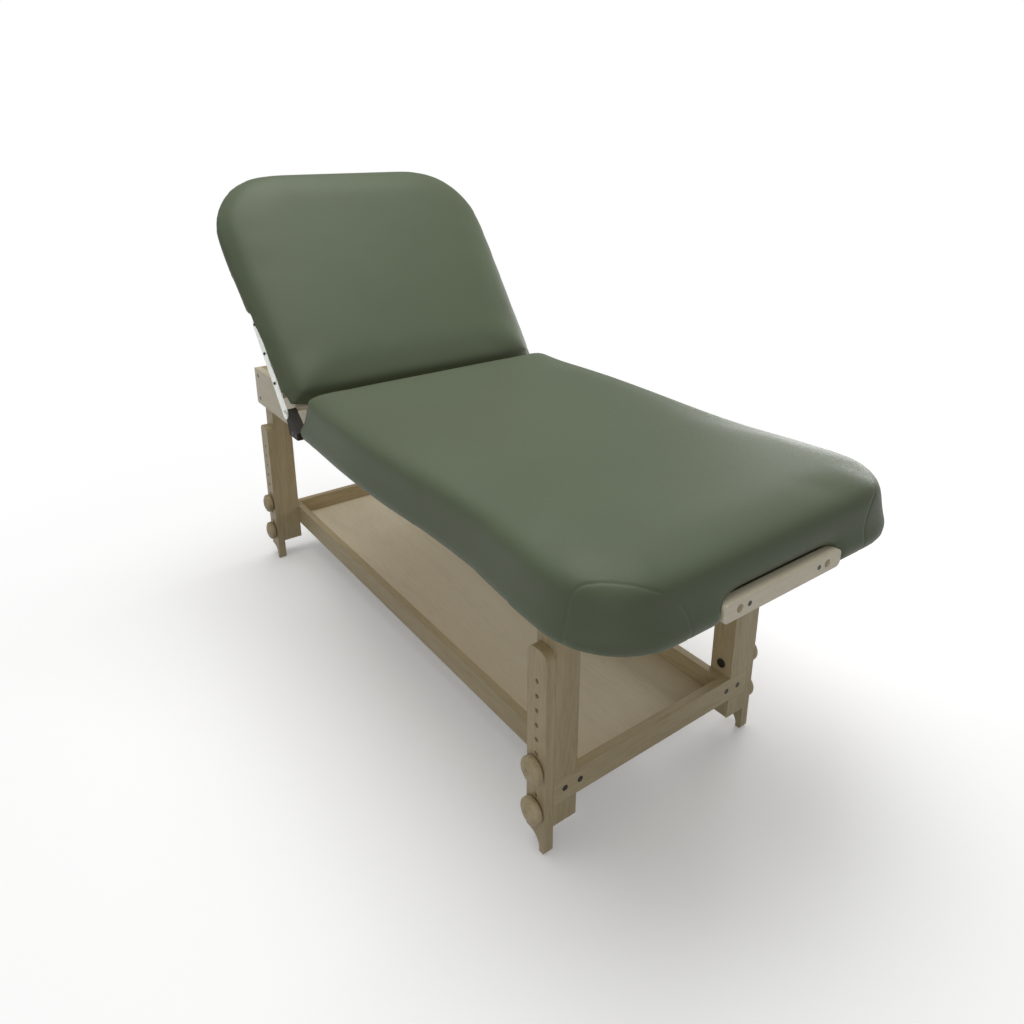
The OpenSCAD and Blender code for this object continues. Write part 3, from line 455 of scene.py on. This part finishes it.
dress(["face_rest_screws", "frame_bolts", "leg_bolts", "tray_bolts", "strap_screws", "lug_screws",
       "prop_pins"], oxideSteel)
print("wood and steel dressed")


# turned knobs on the leg bolts
def meshObject(name, bm):
    me = bpy.data.meshes.new(name)
    bm.to_mesh(me)
    bm.free()
    ob = bpy.data.objects.new(name, me)
    scene.collection.objects.link(ob)
    return ob


knobLook = {
    "washer": 0.013, "radius": 0.026, "neck": 0.0015, "dome": 0.0035, "dimple": 0.006,  # metres
    "rimRound": 0.0055, "rimAngles": (90, 70, 50, 30, 12),
    "turns": 64, "merge": 0.00002,
}


def turnKnob(node, look, body):
    low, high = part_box(node)
    outward = 1 if low[1] + high[1] > 0 else -1
    root = low[1] if outward > 0 else high[1]
    length = high[1] - low[1]
    x, z = (low[0] + high[0]) / 2, (low[2] + high[2]) / 2
    r = look["radius"]
    curve = look["rimRound"]
    rim = [(r - curve * (1 - math.sin(math.radians(a))), length - curve * (1 - math.cos(math.radians(a))))
           for a in look["rimAngles"]]
    outline = ([(0.0, 0.0), (look["washer"], 0.0), (look["washer"], look["neck"]),
                (r - 0.004, look["neck"] + 0.0004), (r - 0.001, look["neck"] + 0.0016), (r, look["neck"] + 0.004)]
               + [(a, b - look["dome"]) for a, b in rim]
               + [(r * 0.62, length - look["dome"] * 0.3), (r * 0.34, length), (look["dimple"], length - 0.0002),
                  (look["dimple"] * 0.7, length - 0.0016), (0.0, length - 0.0022)])
    bm = bmesh.new()
    verts = [bm.verts.new((x + a, root + outward * b, z)) for a, b in outline]
    edges = [bm.edges.new(pair) for pair in zip(verts, verts[1:])]
    bmesh.ops.spin(bm, geom=verts + edges, cent=(x, 0, z), axis=(0, 1, 0), dvec=(0, 0, 0),
                   angle=math.tau, steps=look["turns"], use_merge=True, use_duplicate=False)
    bmesh.ops.remove_doubles(bm, verts=bm.verts, dist=look["merge"])
    bmesh.ops.recalc_face_normals(bm, faces=bm.faces)
    knob = meshObject("turned_" + node, bm)
    for face in knob.data.polygons:
        face.use_smooth = True
    knob.data.materials.append(knobWood)
    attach(knob, body)
    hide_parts(node)


for knobName in knobNames:
    turnKnob(knobName, knobLook, knobName)
print("knobs turned")


# cushions
def appliedMesh(ob):  # the object's mesh with its modifiers applied
    deps = bpy.context.evaluated_depsgraph_get()
    deps.update()
    me = bpy.data.meshes.new_from_object(ob.evaluated_get(deps), depsgraph=deps)
    old = ob.data
    ob.modifiers.clear()
    ob.data = me
    bpy.data.meshes.remove(old)


def toFlat(p):  # from the table to the flat back: x away from the hinge, z above its axis
    d = p - hinge
    c, s = math.cos(restTilt), math.sin(restTilt)
    return Vector((-(d.x * c - d.z * s), d.y, d.x * s + d.z * c))


def fromFlat(p):  # and back again
    c, s = math.cos(restTilt), math.sin(restTilt)
    return hinge + Vector((-p.x * c + p.z * s, p.y, p.x * s + p.z * c))


def relax(bm, verts, passes):
    for _ in range(passes):
        bmesh.ops.smooth_vert(bm, verts=verts, factor=0.5, use_axis_x=True, use_axis_y=True, use_axis_z=True)


def easeFree(ob, look, local, passes, corners=0):  # relaxes the free cover, and its hinge corners more
    bm = bmesh.new()
    bm.from_mesh(ob.data)
    free = [v for v in bm.verts if heldWeight(local(v.co), look) < 0.5]
    relax(bm, free, passes)
    soft = [v for v in free if look["isCorner"](local(v.co))]
    relax(bm, soft, corners)
    bm.normal_update()
    bm.to_mesh(ob.data)
    bm.free()
    ob.data.update()


def tuckUnder(ob, look, local):  # the cover turns in towards the board along its lower edge
    places = [local(v.co) for v in ob.data.vertices]
    middle = [(min(c) + max(c)) / 2 for c in zip(*[(p.x, p.y) for p in places])]
    half = [(max(c) - min(c)) / 2 for c in zip(*[(p.x, p.y) for p in places])]
    for v, p in zip(ob.data.vertices, places):
        rise = (p.z - look["floor"]) / look["tuckHeight"]
        if rise < 1:
            share = 1 - math.sqrt(max(0.0, 1 - (1 - max(0.0, rise)) ** 2))
            moved = Vector((p.x - (p.x - middle[0]) / half[0] * look["tuck"] * share,
                            p.y - (p.y - middle[1]) / half[1] * look["tuck"] * share, p.z))
            v.co = look["toTable"](moved)


def fillHingeEnd(ob, look):  # the seat's cover bulges to the hinge below the height that the back reaches
    for v in ob.data.vertices:
        near = max(0.0, min(1.0, (look["bulgeFrom"] - v.co.x) / look["bulgeRun"]))
        low = max(0.0, min(1.0, (look["bulgeTop"] - v.co.z) / look["bulgeFade"]))
        v.co.x -= (look["bulge"] * low * low * (3 - 2 * low)) * near * near * (3 - 2 * near)


def drawIn(ob, look, local):  # the cover starts a little small, so that it swells to its size
    normals = [v.normal.copy() for v in ob.data.vertices]
    for v, n in zip(ob.data.vertices, normals):
        v.co -= n * look["drawnIn"] * (1 - heldWeight(local(v.co), look))


def padFrom(node, name, look, local):
    ob = meshObject(name, copiedShell(node))
    blocks = ob.modifiers.new("remesh", "REMESH")
    blocks.mode = "VOXEL"
    blocks.voxel_size = look["voxel"]
    appliedMesh(ob)
    tuckUnder(ob, look, local)
    if "bulge" in look:
        fillHingeEnd(ob, look)
    easeFree(ob, look, local, look["easeBefore"], look["cornerPasses"])
    drawIn(ob, look, local)
    group = ob.vertex_groups.new(name="held")
    for v in ob.data.vertices:
        held = heldWeight(local(v.co), look)
        if held > 0:
            group.add([v.index], held, "REPLACE")
    start = [v.co.copy() for v in ob.data.vertices]
    swell(ob, look)
    for v, s in zip(ob.data.vertices, start):
        move = v.co - s
        if move.length > look["cap"]:
            v.co = s + move * (look["cap"] / move.length)
    easeFree(ob, look, local, look["easeAfter"])
    finer = ob.modifiers.new("finer", "SUBSURF")
    finer.levels = 1
    finer.render_levels = 1
    appliedMesh(ob)
    ob.vertex_groups.clear()
    return ob


clothLook = {"quality": 5, "mass": 0.3, "stretch": 25, "shear": 10, "bend": 6.0, "frames": 20}


def swell(ob, look):  # the cover is blown up a little, held along the board
    cloth = ob.modifiers.new("swell", "CLOTH")
    cloth.settings.quality = clothLook["quality"]
    cloth.settings.mass = clothLook["mass"]
    cloth.settings.tension_stiffness = clothLook["stretch"]
    cloth.settings.compression_stiffness = clothLook["stretch"]
    cloth.settings.shear_stiffness = clothLook["shear"]
    cloth.settings.bending_stiffness = clothLook["bend"]
    cloth.settings.vertex_group_mass = "held"
    cloth.settings.use_pressure = True
    cloth.settings.uniform_pressure_force = look["pressure"]
    cloth.settings.effector_weights.gravity = 0
    cloth.collision_settings.use_collision = False
    cloth.point_cache.frame_start = 1
    cloth.point_cache.frame_end = clothLook["frames"]
    for f in range(1, clothLook["frames"] + 1):
        scene.frame_set(f)
    appliedMesh(ob)
    scene.frame_set(1)


def heldWeight(p, look):  # 1 where the cover is stapled under the board, falling to 0 up the sides
    t = (p.z - look["floor"] - look["heldUpTo"]) / look["heldFade"]
    return max(0.0, min(1.0, 1 - t))


shellMerge = 0.00005  # metres within which a shell's loose corners are joined


def copiedShell(node):  # the CAD cushion with its triangles joined up
    bm = bmesh.new()
    bm.from_mesh(frame["nodes"][node].data)
    bmesh.ops.remove_doubles(bm, verts=bm.verts, dist=shellMerge)
    bm.normal_update()
    return bm


seatLook = {
    "voxel": 0.010, "pressure": 4.0, "cap": 0.008, "drawnIn": 0.004,
    "floor": 0.548, "heldUpTo": 0.016, "heldFade": 0.03,  # height of the underside, and where the cover lets go
    "easeBefore": 6, "easeAfter": 16, "cornerPasses": 4,
    "tuck": 0.010, "tuckHeight": 0.05, "toTable": lambda p: p,
    "bulge": 0.016, "bulgeFrom": -0.16, "bulgeRun": 0.09, "bulgeTop": 0.650, "bulgeFade": 0.040,
    "isCorner": lambda p: p.x < -0.20 and abs(p.y) > 0.28,
}
backLook = {
    "voxel": 0.010, "pressure": 3.2, "cap": 0.008, "drawnIn": 0.003,
    "floor": -0.009, "heldUpTo": 0.016, "heldFade": 0.03,
    "easeBefore": 12, "easeAfter": 30, "cornerPasses": 2,
    "tuck": 0.008, "tuckHeight": 0.03, "toTable": fromFlat,
    "isCorner": lambda p: p.x < 0.08 and abs(p.y) > 0.28,
}


def finishPad(ob, node, body, material):
    if "seamDistance" not in ob.data.attributes:
        away = ob.data.attributes.new("seamDistance", "FLOAT", "POINT")
        away.data.foreach_set("value", [1.0] * len(ob.data.vertices))
    ob.data.materials.clear()
    ob.data.materials.append(material)
    for face in ob.data.polygons:
        face.use_smooth = True
    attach(ob, body)
    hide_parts(node)


seamLook = {
    "band": 0.010, "cuts": 2,                     # the mesh is made finer this near to a seam
    "valleyWidth": 0.0026, "valleyDepth": 0.0009,
    "known": 0.03,                                # how far the distance to the seam is written down
    "roundings": 4, "easings": 8, "step": 0.0012,
}


def sewSeams(ob, lines, look):  # lines: lists of (point, direction) laid on the cover
    steps = [step for line in lines for step in line]
    finder = KDTree(len(steps))
    for i, (point, _) in enumerate(steps):
        finder.insert(point, i)
    finder.balance()
    bm = bmesh.new()
    bm.from_mesh(ob.data)
    close = {v for v in bm.verts if finder.find(v.co)[2] < look["band"]}
    edges = [e for e in bm.edges if e.verts[0] in close and e.verts[1] in close]
    bmesh.ops.subdivide_edges(bm, edges=edges, cuts=look["cuts"], use_grid_fill=True)
    bm.normal_update()
    signed = {}
    for v in bm.verts:
        point, i, gap = finder.find(v.co)
        if gap < look["known"]:
            side = v.normal.cross(steps[i][1])
            across = (v.co - point).dot(side)
            signed[v] = across if gap < look["known"] * 0.5 else math.copysign(gap, across)
    for v, d in signed.items():
        v.co -= v.normal * look["valleyDepth"] * math.exp(-(d / look["valleyWidth"]) ** 2)
    layer = bm.verts.layers.float.new("seamDistance")
    for v in bm.verts:
        v[layer] = signed.get(v, 1.0)
    bmesh.ops.recalc_face_normals(bm, faces=bm.faces)
    bm.to_mesh(ob.data)
    bm.free()


cornerSeam = [(0.693, -0.374, 0.560), (0.694, -0.376, 0.600), (0.697, -0.375, 0.640), (0.701, -0.366, 0.656),
              (0.706, -0.352, 0.664), (0.717, -0.333, 0.668), (0.737, -0.309, 0.669), (0.757, -0.291, 0.667),
              (0.775, -0.277, 0.660), (0.785, -0.259, 0.648), (0.788, -0.240, 0.633), (0.788, -0.226, 0.616),
              (0.788, -0.216, 0.598), (0.788, -0.212, 0.580), (0.788, -0.211, 0.560)]


def seamLine(points, surface, look):  # rounds a path off, lays it on the cover and cuts it into short steps
    path = [Vector(p) for p in points]
    for _ in range(look["roundings"]):
        cut = [q for a, b in zip(path, path[1:]) for q in (a.lerp(b, 0.25), a.lerp(b, 0.75))]
        path = [path[0]] + cut + [path[-1]]
    laid = [surface.find_nearest(p)[0] for p in path]
    for _ in range(look["easings"]):
        laid = [laid[0]] + [(a + b * 2 + c) / 4 for a, b, c in zip(laid, laid[1:], laid[2:])] + [laid[-1]]
    steps = []
    for a, b in zip(laid, laid[1:]):
        count = max(1, int((b - a).length / look["step"]))
        if (b - a).length > 1e-6:
            steps += [(a.lerp(b, k / count), (b - a).normalized()) for k in range(count)]
    return steps


seatPad = padFrom("seat_cushion", "seatPad", seatLook, lambda p: p)
seatCover = BVHTree.FromPolygons([v.co.copy() for v in seatPad.data.vertices],
                                 [p.vertices[:] for p in seatPad.data.polygons])
mirroredSeam = [(x, -y, z) for x, y, z in cornerSeam]
sewSeams(seatPad, [seamLine(seam, seatCover, seamLook) for seam in (cornerSeam, mirroredSeam)], seamLook)
finishPad(seatPad, "seat_cushion", "frame", coverVinyl)
print("seat pad ready")

backPad = padFrom("back_cushion", "backPad", backLook, toFlat)
finishPad(backPad, "back_cushion", "back", coverVinyl)
print("back pad ready")
